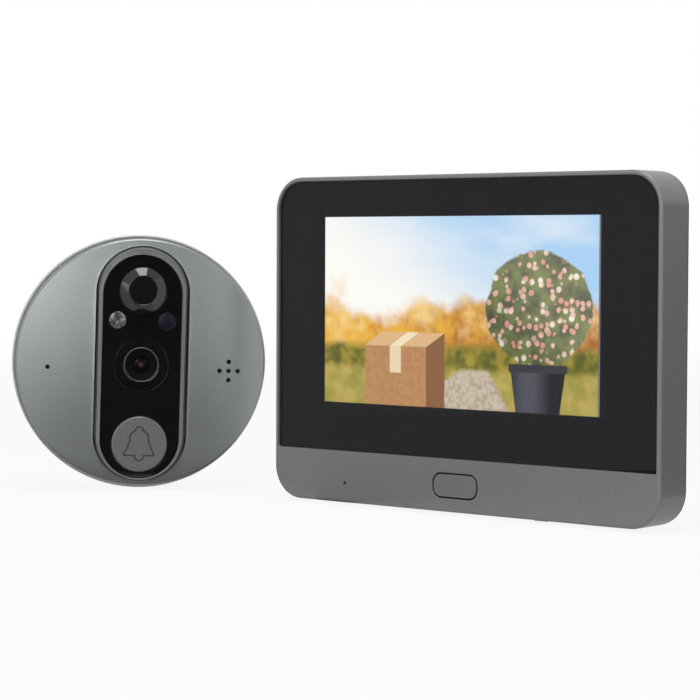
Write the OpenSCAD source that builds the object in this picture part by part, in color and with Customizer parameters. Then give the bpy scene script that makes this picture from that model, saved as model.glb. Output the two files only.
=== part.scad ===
// Peephole door camera: an indoor monitor that hangs on a door bracket, and a round outdoor
// camera with a bell button, set side by side. Millimetres. X runs to the right, Y from the
// viewer to the door, Z up. The origin is the middle of the bracket's screws, on its sheet's back.

/* [Screen] */
// Width of the lit screen
screen_w = 95; // [84:0.5:110]
// Height of the lit screen
screen_h = 53.9; // [47:0.1:64]
// Glass at each side of the screen
side_border = 17.8; // [14:0.1:24]
// Glass above the screen
top_border = 10.4; // [8:0.1:16]
// Glass below the screen
bottom_border = 13.3; // [11:0.1:20]
// Thickness of the cover glass
glass_t = 0.7; // [0.7:0.1:2]
// Thickness of the screen's liquid crystal cell
cell_t = 1.3; // [0.8:0.1:2]
// Thickness of the backlight
backlight_t = 2.6; // [1.5:0.1:4]
// Backlight frame beside the lit area
module_side = 5.2; // [3:0.1:7]
// Backlight frame above the lit area
module_top = 4.3; // [3:0.1:6]
// Backlight frame below the lit area
module_bottom = 8; // [5:0.1:9]

/* [Monitor case] */
// Width of the lip beside and above the glass
lip_w = 1.2; // [0.8:0.1:2.5]
// Height of the chin below the glass
chin_h = 14.8; // [13:0.1:22]
// Radius of the case's outer corners
corner_r = 9.5; // [7:0.1:13]
// Thickness of the case's walls
case_wall = 2; // [1.6:0.1:2.6]
// Thickness of the chin's front
chin_t = 2; // [1.5:0.1:3]
// Depth of the glass below the lip
glass_drop = 0.2; // [0.2:0.1:1]
// Thickness of the ledge that carries the glass
ledge_t = 1.5; // [1:0.1:2.5]
// Thickness of the back cover inside the case
cover_t = 1.4; // [1.2:0.1:2.4]
// Height of the back cover behind the case's edge
cover_proud = 0.6; // [0.4:0.1:1.5]
// Step from the case's outline to the back cover's
cover_step = 0.5; // [0.2:0.1:1.5]

/* [Home button and switch] */
// Width of the home button
home_w = 14.8; // [10:0.1:18]
// Height of the home button
home_h = 6.3; // [5:0.1:7]
// Radius of the home button's corners
home_r = 2.5; // [1:0.1:2.5]
// Gap round the home button
home_gap = 0.4; // [0.2:0.05:0.6]
// Travel of the home button
home_travel = 0.5; // [0.3:0.1:0.8]
// Distance of the power switch from the case's right side
switch_edge = 42.2; // [40:0.1:48]
// Length of the power switch's knob
knob_l = 4.6; // [3:0.1:6]
// Width of the power switch's knob
knob_w = 2.4; // [1.8:0.1:3]
// Height of the knob below the case
knob_proud = 1; // [0.6:0.1:1.5]
// Travel of the power switch
switch_travel = 2; // [1.5:0.1:3]
// Distance of the microphone hole from the case's left side
mic_edge = 26.9; // [20:0.1:36]
// Distance of the microphone hole below the glass
mic_drop = 9.1; // [7:0.1:9.5]

/* [Monitor inside] */
// Width of the battery
battery_w = 68; // [50:1:80]
// Height of the battery
battery_h = 50; // [40:1:58]
// Thickness of the battery
battery_t = 5; // [4:0.1:8]
// Thickness of the circuit boards
board_t = 1; // [0.8:0.1:1.6]
// Width of the monitor's loudspeaker
speaker_w = 20; // [14:0.5:24]
// Height of the monitor's loudspeaker
speaker_h = 10; // [8:0.5:11]
// Thickness of the monitor's loudspeaker
speaker_t = 4; // [3:0.1:5]
// Distance of the charging socket from the case's right side
usb_edge = 24.5; // [18:0.5:26]

/* [Door bracket] */
// Thickness of the bracket's sheet
sheet_t = 1; // [0.8:0.1:1.5]
// Width of a hook
hook_w = 10; // [6:0.5:14]
// Height of a hook's lip
hook_lip = 5; // [3:0.1:7]
// Height between the upper and the lower hooks
hook_pitch = 32; // [28:0.5:40]
// Distance between the two door screws, one above the other
screw_pitch = 12; // [11:0.5:16]
// Radius of the bracket's screw holes
screw_hole_r = 1.7; // [1.6:0.1:2]
// Thickness of the adhesive pads
pad_t = 0.8; // [0.5:0.1:2]

/* [Outdoor unit] */
// Radius of the base ring
base_r = 39; // [37:0.1:44]
// Step from the base ring in to the front shell
base_step = 1.2; // [0.8:0.1:2]
// Depth of the base ring
base_d = 3.7; // [3:0.1:6]
// Depth of the front shell's side
shell_d = 9.5; // [8.5:0.1:16]
// Height of the face's crown
crown = 2; // [0.5:0.1:3]
// Thickness of the front shell
shell_wall = 2; // [1.6:0.1:3]
// Radius of the front shell's edge
edge_r = 0.8; // [0.4:0.1:1.2]
// Gap between the front shell and the base ring
seam_gap = 0.3; // [0.2:0.05:0.5]
// Width of the base ring's groove round the front shell
seam_w = 0.6; // [0.3:0.1:0.7]
// Turn of the outdoor unit about the vertical
unit_yaw = 48; // [0:1:60]
// Roll of the outdoor unit on its rim
unit_roll = 1.5; // [0:0.5:10]
// Space from the monitor's side to the outdoor unit's middle
unit_gap = 47.5; // [44:0.5:80]
// Distance of the outdoor unit's face in front of the monitor's
unit_ahead = 8; // [0:0.5:20]

/* [Camera panel] */
// Width of the opening in the face
pill_w = 28.4; // [28:0.1:31]
// Face left above and below the opening
pill_rim = 2; // [1:0.1:2.5]
// Distance of the opening's middle below the face's
pill_drop = 0.2; // [0:0.1:0.5]
// Groove between the opening and the trim at the sides
pill_gap = 0.9; // [0.4:0.1:1.2]
// Mean groove between the opening and the trim at the two ends
end_gap = 0.65; // [0.6:0.05:1.2]
// Distance of the trim's middle below the opening's
trim_drop = 0.4; // [0:0.05:0.5]
// Width of the trim at the sides
trim_side = 1.25; // [1.2:0.05:2]
// Mean width of the trim at the two ends
trim_end = 1; // [0.9:0.05:2]
// Distance of the panel's middle below the trim's
panel_drop = 0.62; // [0.4:0.01:0.8]
// Distance from the panel's top end to the motion sensor's middle
pir_drop = 10.95; // [9.5:0.05:12]
// Radius of the motion sensor's lens
pir_r = 7.2; // [6:0.1:8]
// Distance of the lamps to each side of the middle
lamp_x = 7.5; // [7:0.1:8]
// Distance of the lamps below the motion sensor's middle
lamp_drop = 9.05; // [8.5:0.05:10]
// Radius of the lamps
lamp_r = 2.55; // [1.5:0.05:3]
// Distance of the camera lens above the face's middle
lens_z = -0.6; // [-1.5:0.1:0]
// Outer radius of the lens's bezel
bezel_r = 8.15; // [7:0.05:8.5]
// Outer radius of the bright ring round the lens
ring_r = 5.35; // [4.8:0.05:6]
// Width of the bright ring
ring_w = 0.45; // [0.3:0.05:0.6]
// Radius of the bell button
bell_r = 8.45; // [7:0.05:9.2]
// Distance from the panel's lower end to the bell button's middle
bell_rise = 10.5; // [9.8:0.1:12]
// Gap round the bell button
bell_gap = 0.25; // [0.1:0.05:0.4]
// Travel of the bell button
bell_travel = 0.6; // [0.4:0.1:1]

/* [Outdoor sound] */
// Distance of the microphone hole from the face's edge
ear_edge = 9.5; // [8:0.1:11]
// Distance of the loudspeaker's middle from the face's edge
voice_edge = 11.15; // [10:0.05:11.5]
// Distance of both below the face's middle
sound_drop = 1.85; // [0:0.05:4]
// Radius of the sound holes
sound_hole_r = 0.7; // [0.5:0.05:0.9]
// Distance between the loudspeaker's holes
sound_pitch = 2.8; // [2.4:0.1:3.2]
// Radius of the outdoor loudspeaker
voice_r = 6.5; // [5:0.1:7]

/* [Hidden] */
round_fn = 72;
cut = 0.5;

// Fits and small standard sizes
mask_t = 0.1;
tape_t = 0.2;
tape_inset = 1;
glass_fit = 0.1;
glass_foot_r = 0.7;
window_margin = 0.6;
module_fit = 0.4;
cell_inset = 1.5;
part_gap = 0.5;
board_gap = 0.3;
board_edge = 1;
stack_gap = 0.2;
cover_fit = 0.15;
screw_fit = 0.05;
slide_fit = 0.2;
plunger_fit = 0.05;
bore_floor = 0.2;

// Monitor outline
glass_w = screen_w + 2 * side_border;
glass_h = screen_h + top_border + bottom_border;
mon_w = glass_w + 2 * lip_w;
mon_h = glass_h + lip_w + chin_h;
inner_x = mon_w / 2 - case_wall;
inner_z = mon_h / 2 - case_wall;
inner_r = corner_r - case_wall;
glass_r = corner_r - lip_w;
glass_top = mon_h / 2 - lip_w;
glass_bottom = glass_top - glass_h;
glass_z = (glass_top + glass_bottom) / 2;
screen_z = glass_top - top_border - screen_h / 2;
module_w = screen_w + 2 * module_side;
module_h = screen_h + module_top + module_bottom;
module_z = screen_z + (module_top - module_bottom) / 2;

// Tact switches, the same in both units
tact_w = 5;
tact_t = 1.5;
tact_gap = 0.3;
plunger_r = 1.2;
plunger_in = 0.5;

// Home button
home_z = (glass_bottom - mon_h / 2) / 2;
home_flange = 1;
home_flange_t = 0.8;
home_stop = 0.05;
home_back = chin_t + home_stop + home_flange_t;

// Monitor depths, from the front of the lip
glass_back = glass_drop + glass_t;
mask_back = glass_back + mask_t;
ledge_front = mask_back + tape_t;
ledge_back = max(ledge_front + ledge_t, chin_t);
cell_back = mask_back + cell_t;
light_back = cell_back + backlight_t;
board_front = max(light_back + board_gap, ledge_back + board_gap,
                  home_back + home_travel + tact_gap + tact_t);
board_back = board_front + board_t;
usb_w = 8.9;
usb_h = 3.2;
usb_l = 7.4;
usb_wall = 0.3;
usb_inset = 0.6;
usb_tongue = [6.7, 0.7, 4.4];
switch_l = 9;
switch_d = 3.6;
switch_h = 3.4;
cover_in = board_back + max(battery_t, speaker_t, usb_h, switch_d) + stack_gap;
case_d = cover_in + cover_t;
cover_back = case_d + cover_proud;
hang_gap = 0.3;
sheet_front = cover_back + hang_gap;
sheet_back = sheet_front + sheet_t;
front_y = -sheet_back;

// Monitor fasteners
cover_screw_r = 1;
cover_head_r = 1.9;
cover_head_h = 1;
cover_screw_l = 6.5;
cover_boss_r = 2.6;
head_margin = 0.8;
head_fit = 0.15;
boss_in = inner_r - (inner_r - cover_head_r - head_margin) / sqrt(2);
cover_boss = [inner_x - boss_in, inner_z - boss_in];
board_screw_r = 0.8;
board_head_r = 1.5;
board_head_h = 0.8;
board_boss_r = 2;
board_boss_z = 27;
board_boss_x = module_w / 2 + module_fit + board_boss_r + module_fit;
pilot_floor = 0.5;
screw_tip = 0.3;

// Monitor inside
speaker_edge = 38.5;
speaker_x = speaker_edge - mon_w / 2;
speaker_z = -inner_z + part_gap + speaker_h / 2;
speaker_slots = 5;
speaker_slot_w = 1;
battery_z = speaker_z + speaker_h / 2 + part_gap + battery_h / 2;
socket_w = 12;
socket_h = 5;
socket_t = 2;
socket_z = inner_z - 10;
socket_slot = [9, 0.6];
window_w = 16;
window_h = 8;
wifi = [15, 2, 12];
wifi_x = board_boss_x - board_head_r - part_gap - wifi[0] / 2;
mic_r = 2;
mic_hole_r = 0.55;
mic_x = mic_edge - mon_w / 2;
mic_z = glass_bottom - mic_drop;
usb_x = mon_w / 2 - usb_edge;
usb_y = board_back + usb_h / 2;
usb_z = -mon_h / 2 + usb_inset;
switch_x = mon_w / 2 - switch_edge;
switch_y = board_back + switch_d / 2;
switch_z = -inner_z + part_gap;
knob_stem = 2;
knob_in = 2;

// Door bracket
hook_gap = 0.3;
hook_side = 3;
hang_fit = 0.1;
lift = hook_lip + 1;
hook_x = battery_w / 2 + hook_side + hook_w / 2;
hook_front = cover_in - hook_gap - sheet_t;
hook_hole_h = sheet_front - hook_front + hook_lip;
bracket_edge = 3;
bracket_w = 2 * (hook_x + hook_w / 2 + bracket_edge);
bracket_h = hook_pitch + 2 * (sheet_t + hook_hole_h + bracket_edge);
bracket_r = 3;
ribbon_w = 12;
ribbon_h = 5;
screw_head_r = 3;
recess_t = 1.2;
recess_w = 14;
recess_bottom = screw_pitch / 2 + screw_head_r + lift + part_gap;
pad_in = ribbon_w / 2 + 4;
pad_out = hook_x - hook_w / 2 - 2;

// Outdoor unit depths, from the plane of the face's edge
face_r = base_r - base_step;
bore_r = face_r - shell_wall;
trim_front = -0.3;
trim_floor_t = 1.2;
trim_back = shell_wall + trim_floor_t;
panel_front = 0.3;
collar_gap = 0.1;
collar_t = 0.6;
bell_front = -0.4;
bell_stop = 0.2;
bell_back = shell_wall - bell_travel - bell_stop;
collar_back = trim_back + collar_gap + collar_t;
cam_front = collar_back + bell_travel + tact_gap + tact_t;
cam_back = cam_front + board_t;
base_front = shell_d + seam_gap;
base_back = base_front + base_d;
base_floor_t = 2;
floor_in = base_back - base_floor_t;
seam_d = 1;
seam_in = 0.4;
spigot_fit = 0.2;
spigot_t = 1.8;
spigot_l = 2.5;
spigot_r = bore_r - spigot_fit;
cam_r = spigot_r - spigot_t - part_gap;
gasket_t = 1;
gasket_in = 1;
gasket_w = 5;

// Outdoor unit places
unit_x = -mon_w / 2 - unit_gap;
unit_y = front_y - unit_ahead;
unit_z = base_r - mon_h / 2 - knob_proud;
pill_h = 2 * (face_r - pill_rim);
trim_w = pill_w - 2 * pill_gap;
trim_h = pill_h - 2 * end_gap;
trim_z = -pill_drop - trim_drop;
trim_flange = 2;
trim_fit = 0.1;
flank_fall = 0.45;
panel_w = trim_w - 2 * trim_side;
panel_h = trim_h - 2 * trim_end;
panel_z = trim_z - panel_drop;
panel_fit = 0.1;
pir_z = panel_z + panel_h / 2 - pir_drop;
lamp_z = pir_z - lamp_drop;
bell_z = panel_z - panel_h / 2 + bell_rise;
ear_x = ear_edge - face_r;
voice_x = face_r - voice_edge;
ear_r = 3;
ear_t = 2.5;
voice_t = 3.5;
post_r = 2.4;
post_ring = bore_r - 6.6;
post_angles = [31, 149, 214, 326];
long_screw_r = 1;
long_head_r = 1.9;
long_head_h = 1.2;
long_bite = 3.4;

// Motion sensor, lens and bell button
pir_top = -1.7;
pir_flat_r = 4.6;
pir_step = 0.15;
pir_skin = 0.9;
pir_can_r = 4.1;
pir_foot_r = 4.6;
pir_foot_t = 0.5;
pir_can_front = 0.3;
bezel_front = 0.2;
ring_front = -0.05;
barrel_r = ring_r - ring_w - 0.1;
barrel_front = 0.8;
barrel_lip = 0.4;
barrel_cone = 1.4;
eye_r = 2.4;
eye_bulge = 0.5;
eye_t = 1;
holder_w = 13;
holder_h = 2.6;
chip_w = 6;
chip_t = 0.8;
chip_gap = 0.4;
barrel_back = cam_front - chip_t - chip_gap;
stem_r = 2.6;
stem_fit = 0.3;
collar_r = 3.6;
bell_line = 0.5;
bell_cut = 0.25;
bell_body_r = 3.1;
bell_body_z = 1.2;
bell_dome_h = 3.1;
bell_flare = 1.75;
bell_curve = 1.4;
bell_corner = 0.6;
bell_foot = -3.75;
bell_knob_r = 1.4;
bell_knob_z = 4.15;
bell_clapper_r = 1.6;

// Back of the outdoor unit
bush_r = 2.4;
bush_hole_r = 1.25;
bush_front = cam_back + 0.6;
hub_w = 18;
hub_h = screw_pitch + 2 * bush_r + 6;
grommet_w = 11;
grommet_h = 4.2;
grommet_slot = [9.4, 1.2];

// Moves a piece drawn from the monitor's front into place
module at_monitor() {
    translate([0, front_y, 0]) children();
}

// Moves a piece drawn from the face's middle into place
module at_outdoor() {
    translate([unit_x, unit_y, unit_z]) rotate([0, unit_roll, unit_yaw]) children();
}

// A front-view outline drawn solid between two depths
module slab(from, to) {
    translate([0, to, 0]) rotate([90, 0, 0]) linear_extrude(to - from) children();
}

// A solid of revolution about the depth axis, from points of radius and depth
module turned(points) {
    rotate([-90, 0, 0]) rotate_extrude($fn = round_fn) polygon(points);
}

module disc(r) {
    circle(r, $fn = round_fn);
}

module rounded(w, h, r) {
    square([w - 2 * r, h], center = true);
    square([w, h - 2 * r], center = true);
    for (x = [-1, 1], z = [-1, 1]) translate([x * (w / 2 - r), z * (h / 2 - r)]) disc(r);
}

// An upright outline with half-round ends
module pill(w, h) {
    square([w, h - w], center = true);
    for (s = [-1, 1]) translate([0, s * (h - w) / 2]) disc(w / 2);
}

module mirrored_four(at) {
    for (x = [-1, 1], z = [-1, 1]) translate([x * at[0], z * at[1]]) children();
}

// Glass outline, with round upper corners and nearly square lower ones
module glass_outline(inset) {
    w = glass_w - 2 * inset;
    h = glass_h - 2 * inset;
    top_r = glass_r - inset;
    foot_r = glass_foot_r - inset;
    translate([0, glass_z]) {
        translate([-w / 2, foot_r - h / 2]) square([w, h - top_r - foot_r]);
        translate([top_r - w / 2, h / 2 - top_r]) square([w - 2 * top_r, top_r]);
        translate([foot_r - w / 2, -h / 2]) square([w - 2 * foot_r, foot_r]);
        for (s = [-1, 1]) {
            translate([s * (w / 2 - top_r), h / 2 - top_r]) disc(top_r);
            translate([s * (w / 2 - foot_r), foot_r - h / 2]) disc(foot_r);
        }
    }
}

module screen_module(grow) {
    translate([0, module_z]) square([module_w + 2 * grow, module_h + 2 * grow], center = true);
}

module board_boss_places() {
    for (s = [-1, 1], z = [-1, 1])
        translate([s * board_boss_x, screen_z + z * board_boss_z]) children();
}

// Grey case of the monitor: walls, chin and the ledge behind the glass
module front_frame() {
    color("dimgray") at_monitor() difference() {
        union() {
            difference() {
                slab(0, case_d) rounded(mon_w, mon_h, corner_r);
                slab(-cut, ledge_front) glass_outline(0);
                slab(ledge_front - cut, ledge_back + cut) screen_module(module_fit);
                slab(ledge_back, case_d + cut) rounded(2 * inner_x, 2 * inner_z, inner_r);
                chin_pocket();
            }
            slab(ledge_front, cover_in) mirrored_four(cover_boss) disc(cover_boss_r);
            slab(ledge_front, board_front) board_boss_places() disc(board_boss_r);
        }
        slab(cover_back - cover_head_h - cover_screw_l - screw_tip, cover_in + cut)
            mirrored_four(cover_boss) disc(cover_screw_r + screw_fit);
        slab(ledge_front + pilot_floor, board_front + cut)
            board_boss_places() disc(board_screw_r + screw_fit);
        slab(-cut, chin_t + cut) translate([0, home_z])
            rounded(home_w + 2 * home_gap, home_h + 2 * home_gap, home_r + home_gap);
        slab(-cut, chin_t + cut) translate([mic_x, mic_z]) disc(mic_hole_r);
        knob_opening();
        usb_opening();
    }
}

module chin_pocket() {
    top = glass_bottom - tape_inset;
    w = 2 * (inner_x - inner_r);
    slab(chin_t, ledge_back + cut)
        translate([-w / 2, -inner_z]) square([w, top + inner_z]);
}

module knob_opening() {
    translate([switch_x - knob_l / 2 - slide_fit, switch_y - knob_w / 2 - slide_fit, -mon_h / 2 - cut])
        cube([knob_l + switch_travel + 2 * slide_fit, knob_w + 2 * slide_fit, case_wall + 2 * cut]);
}

module usb_opening() {
    translate([usb_x, usb_y, -mon_h / 2 - cut]) linear_extrude(case_wall + 2 * cut)
        rounded(usb_w + 2 * slide_fit, usb_h + 2 * slide_fit, usb_h / 2);
}

// Clear cover over the screen and its black border
module cover_glass() {
    color("lightcyan", 0.4) at_monitor() slab(glass_drop, glass_back) glass_outline(glass_fit);
}

// Black print on the back of the glass, open over the screen
module glass_mask() {
    color("black") at_monitor() slab(glass_back, mask_back) difference() {
        glass_outline(glass_fit);
        translate([0, screen_z])
            square([screen_w + 2 * window_margin, screen_h + 2 * window_margin], center = true);
    }
}

// Adhesive ring between the glass and its ledge
module glass_tape() {
    color("darkslategray") at_monitor() slab(mask_back, ledge_front) difference() {
        translate([0, glass_z])
            rounded(glass_w - 2 * tape_inset, glass_h - 2 * tape_inset, glass_r - tape_inset);
        screen_module(tape_inset);
    }
}

module lcd_cell() {
    color("steelblue") at_monitor() slab(mask_back, cell_back) screen_module(-cell_inset);
}

module lcd_backlight() {
    color("whitesmoke") at_monitor() slab(cell_back, light_back) screen_module(0);
}

// Oblong key in the chin, held by its flange
module home_button() {
    color("gray") at_monitor() translate([0, 0, home_z]) {
        slab(0, home_back) rounded(home_w, home_h, home_r);
        slab(home_back - home_flange_t, home_back)
            rounded(home_w + 2 * (home_gap + home_flange), home_h + 2 * (home_gap + home_flange), home_r);
    }
}

module home_switch_plunger() {
    color("black") at_monitor() translate([0, 0, home_z])
        slab(home_back, board_front - tact_t + plunger_in) disc(plunger_r);
}

module tact_case(back) {
    difference() {
        slab(back - tact_t, back) square(tact_w, center = true);
        slab(back - tact_t - cut, back - bore_floor) disc(plunger_r + plunger_fit);
    }
}

module home_switch_case() {
    color("silver") at_monitor() translate([0, 0, home_z]) tact_case(board_front);
}

// Main circuit board, notched round the back cover's bosses
module main_board() {
    color("darkgreen") at_monitor() slab(board_front, board_back) difference() {
        square([2 * (inner_x - board_edge), 2 * (inner_z - board_edge)], center = true);
        mirrored_four(cover_boss) disc(cover_boss_r + part_gap);
        mirrored_four([inner_x, inner_z]) disc(inner_r);
        board_boss_places() disc(board_screw_r + head_fit);
    }
}

module board_screws() {
    color("silver") at_monitor() {
        slab(board_back, board_back + board_head_h) board_boss_places() disc(board_head_r);
        slab(ledge_front + pilot_floor + screw_tip, board_back) board_boss_places() disc(board_screw_r);
    }
}

module wifi_module() {
    color("lightgray") at_monitor() translate([wifi_x - wifi[0] / 2, board_back, socket_z - wifi[2] / 2])
        cube(wifi);
}

module battery_pack() {
    color("slategray") at_monitor() slab(board_back, board_back + battery_t)
        translate([0, battery_z]) rounded(battery_w, battery_h, part_gap);
}

module monitor_speaker() {
    color("darkgray") at_monitor() slab(board_back, board_back + speaker_t)
        translate([speaker_x, speaker_z]) rounded(speaker_w, speaker_h, speaker_h / 4);
}

module monitor_microphone() {
    color("gold") at_monitor() slab(chin_t, board_front) translate([mic_x, mic_z]) disc(mic_r);
}

// Socket for the flat cable that comes through the door
module ribbon_socket() {
    color("ivory") at_monitor() difference() {
        slab(board_back, board_back + socket_t)
            translate([0, socket_z]) square([socket_w, socket_h], center = true);
        translate([-socket_slot[0] / 2, board_back + socket_t / 2, socket_z - socket_h / 2 - cut])
            cube([socket_slot[0], socket_slot[1], socket_h / 2 + cut]);
    }
}

// Charging socket, its mouth in the case's lower edge
module usb_socket() {
    color("silver") at_monitor() translate([usb_x, usb_y, usb_z]) {
        difference() {
            linear_extrude(usb_l) rounded(usb_w, usb_h, usb_h / 2 - usb_wall / 2);
            translate([0, 0, -cut]) linear_extrude(usb_l - usb_wall + cut)
                rounded(usb_w - 2 * usb_wall, usb_h - 2 * usb_wall, usb_h / 2 - 1.5 * usb_wall);
        }
        translate([-usb_tongue[0] / 2, -usb_tongue[1] / 2, usb_l - usb_tongue[2] - usb_wall])
            cube(usb_tongue);
    }
}

module power_switch_case() {
    slot_l = knob_stem + switch_travel + 2 * slide_fit;
    slot_w = knob_stem + 2 * slide_fit;
    color("silver") at_monitor() difference() {
        translate([switch_x + switch_travel / 2 - switch_l / 2, board_back, switch_z])
            cube([switch_l, switch_d, switch_h]);
        translate([switch_x - knob_stem / 2 - slide_fit, switch_y - slot_w / 2, switch_z - cut])
            cube([slot_l, slot_w, knob_in + slide_fit + cut]);
    }
}

module power_switch_knob() {
    color("dimgray") at_monitor() {
        translate([switch_x - knob_stem / 2, switch_y - knob_stem / 2, -mon_h / 2])
            cube([knob_stem, knob_stem, switch_z + knob_in + mon_h / 2]);
        translate([switch_x - knob_l / 2, switch_y - knob_w / 2, -mon_h / 2 - knob_proud])
            cube([knob_l, knob_w, knob_proud + case_wall / 2]);
    }
}

module hook_places() {
    for (s = [-1, 1], z = [-1, 1]) translate([s * hook_x, 0, z * hook_pitch / 2]) children();
}

// Dark back cover with slots for the hooks and a window for the flat cable
module back_cover() {
    color("#2a2a2c") at_monitor() difference() {
        union() {
            slab(cover_in, case_d)
                rounded(2 * (inner_x - cover_fit), 2 * (inner_z - cover_fit), inner_r - cover_fit);
            slab(case_d, cover_back)
                rounded(mon_w - 2 * cover_step, mon_h - 2 * cover_step, corner_r - cover_step);
        }
        hook_places() translate([-hook_w / 2 - hook_gap, cover_in - cut, -sheet_t - lift - hook_gap])
            cube([hook_w + 2 * hook_gap, cover_back - cover_in + 2 * cut, lift + sheet_t + hook_gap + hang_fit]);
        slab(cover_in - cut, cover_back + cut)
            translate([0, socket_z]) square([window_w, window_h], center = true);
        slab(cover_back - recess_t, cover_back + cut)
            translate([-recess_w / 2, -recess_bottom]) square([recess_w, recess_bottom + socket_z]);
        speaker_openings();
        slab(cover_in - cut, cover_back + cut) mirrored_four(cover_boss) disc(cover_screw_r + head_fit);
        slab(cover_back - cover_head_h, cover_back + cut)
            mirrored_four(cover_boss) disc(cover_head_r + head_fit);
    }
}

module speaker_openings() {
    pitch = speaker_w / (speaker_slots + 1);
    slab(cover_in - cut, cover_back + cut) for (i = [1:speaker_slots])
        translate([speaker_x - speaker_w / 2 + i * pitch, speaker_z])
            pill(speaker_slot_w, speaker_h - 2 * part_gap);
}

module back_cover_screws() {
    color("silver") at_monitor() {
        slab(cover_back - cover_head_h, cover_back) mirrored_four(cover_boss) disc(cover_head_r);
        slab(cover_back - cover_head_h - cover_screw_l, cover_back - cover_head_h)
            mirrored_four(cover_boss) disc(cover_screw_r);
    }
}

// Sheet-steel plate with four hooks cut and bent out of it
module wall_bracket() {
    color("lightsteelblue") at_monitor() {
        difference() {
            slab(sheet_front, sheet_back) rounded(bracket_w, bracket_h, bracket_r);
            slab(sheet_front - cut, sheet_back + cut) {
                rotate(90) pill(ribbon_h, ribbon_w);
                for (s = [-1, 1]) translate([0, s * screw_pitch / 2]) disc(screw_hole_r);
            }
            hook_places() translate([-hook_w / 2, sheet_front - cut, -sheet_t - hook_hole_h])
                cube([hook_w, sheet_t + 2 * cut, hook_hole_h]);
        }
        hook_places() hook();
    }
}

module hook() {
    translate([-hook_w / 2, hook_front, -sheet_t]) {
        cube([hook_w, sheet_front - hook_front, sheet_t]);
        cube([hook_w, sheet_t, sheet_t + hook_lip]);
    }
}

// Adhesive foam strips between the bracket and the door
module bracket_pads() {
    color("dimgray") at_monitor() slab(sheet_back, sheet_back + pad_t) for (s = [-1, 1])
        translate([s * (pad_in + pad_out) / 2, 0])
            rounded(pad_out - pad_in, bracket_h - 2 * bracket_edge, bracket_r - 1);
}

function face_depth(r) = -crown * (1 - pow(r / face_r, 2));

function face_profile(steps) = [for (i = [0:steps])
    let (r = i / steps * (face_r - edge_r)) [r, face_depth(r)]];

function edge_profile(steps) = [for (i = [1:steps]) let (a = 90 * i / steps)
    [face_r - edge_r + edge_r * sin(a), face_depth(face_r - edge_r) + edge_r * (1 - cos(a))]];

module post_places() {
    for (a = post_angles) translate([post_ring * cos(a), post_ring * sin(a)]) children();
}

// Crowned round shell with the opening for the camera panel
module outer_shell() {
    color("gray") at_outdoor() difference() {
        union() {
            turned(concat(face_profile(12), edge_profile(4),
                [[face_r, shell_d], [bore_r, shell_d], [bore_r, shell_wall], [0, shell_wall]]));
            slab(shell_wall - cut, cam_front) post_places() disc(post_r);
        }
        slab(-crown - cut, shell_wall + cut) translate([0, -pill_drop]) pill(pill_w, pill_h);
        slab(-crown - cut, shell_wall + cut) {
            translate([ear_x, -sound_drop]) disc(sound_hole_r);
            voice_holes();
        }
        slab(cam_front - long_bite, cam_front + cut) post_places() disc(long_screw_r + screw_fit);
    }
}

module voice_holes() {
    translate([voice_x, -sound_drop]) {
        disc(sound_hole_r);
        for (a = [0:90:270]) rotate(a) translate([sound_pitch, 0]) disc(sound_hole_r);
    }
}

// Grey tray that frames the black panel and carries it
module pill_trim() {
    color("darkgray") at_outdoor() difference() {
        union() {
            slab(trim_front, trim_back) translate([0, trim_z]) pill(trim_w, trim_h);
            trim_flank();
            slab(shell_wall, trim_back) intersection() {
                translate([0, -pill_drop]) pill(pill_w + 2 * trim_flange, pill_h + 2 * trim_flange);
                disc(bore_r - spigot_fit);
            }
        }
        slab(trim_front - cut, shell_wall) translate([0, panel_z]) pill(panel_w, panel_h);
        slab(shell_wall - cut, trim_back + cut) {
            translate([0, pir_z]) disc(pir_foot_r + slide_fit);
            lamp_places() disc(lamp_r + panel_fit);
            translate([0, lens_z]) disc(barrel_r + slide_fit);
            translate([0, bell_z]) disc(stem_r + stem_fit);
        }
    }
}

// Outer side of the tray's rim, sloped out to the opening in the face
module trim_flank() {
    spread = max(pill_gap, end_gap + trim_drop);
    side = [[trim_w / 2, trim_front], [trim_w / 2 + spread, trim_front + flank_fall],
            [trim_w / 2 + spread, shell_wall], [0, shell_wall], [0, trim_front]];
    intersection() {
        translate([0, 0, trim_z]) for (s = [-1, 1]) {
            translate([0, 0, s * (trim_h - trim_w) / 2]) turned(side);
            linear_extrude(trim_h - trim_w, center = true) polygon([for (p = side) [s * p[0], p[1]]]);
        }
        slab(trim_front - cut, shell_wall) translate([0, -pill_drop])
            pill(pill_w - 2 * trim_fit, pill_h - 2 * trim_fit);
    }
}

module lamp_places() {
    for (s = [-1, 1]) translate([s * lamp_x, lamp_z]) children();
}

// Gloss black window for the lens, the sensor, the lamps and the button
module front_panel() {
    color("black") at_outdoor() slab(panel_front, shell_wall) difference() {
        translate([0, panel_z]) pill(panel_w - 2 * panel_fit, panel_h - 2 * panel_fit);
        translate([0, pir_z]) disc(pir_r + panel_fit);
        lamp_places() disc(lamp_r + panel_fit);
        translate([0, lens_z]) disc(bezel_r + panel_fit);
        translate([0, bell_z]) disc(bell_r + bell_gap);
    }
}

// Domed cap with a flat middle over the motion sensor
module pir_lens() {
    rim = pir_r - pir_flat_r;
    rise = panel_front - pir_top;
    dome = [for (a = [0:15:90]) [pir_flat_r + rim * cos(a), panel_front - rise * sin(a)]];
    color("black") at_outdoor() translate([0, 0, pir_z]) turned(concat(
        [[pir_r - pir_skin, shell_wall], [pir_r, shell_wall]], dome,
        [[pir_flat_r, pir_top + pir_step], [0, pir_top + pir_step], [0, pir_top + pir_skin],
         [pir_flat_r, pir_top + pir_skin], [pir_r - pir_skin, panel_front]]));
}

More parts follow.
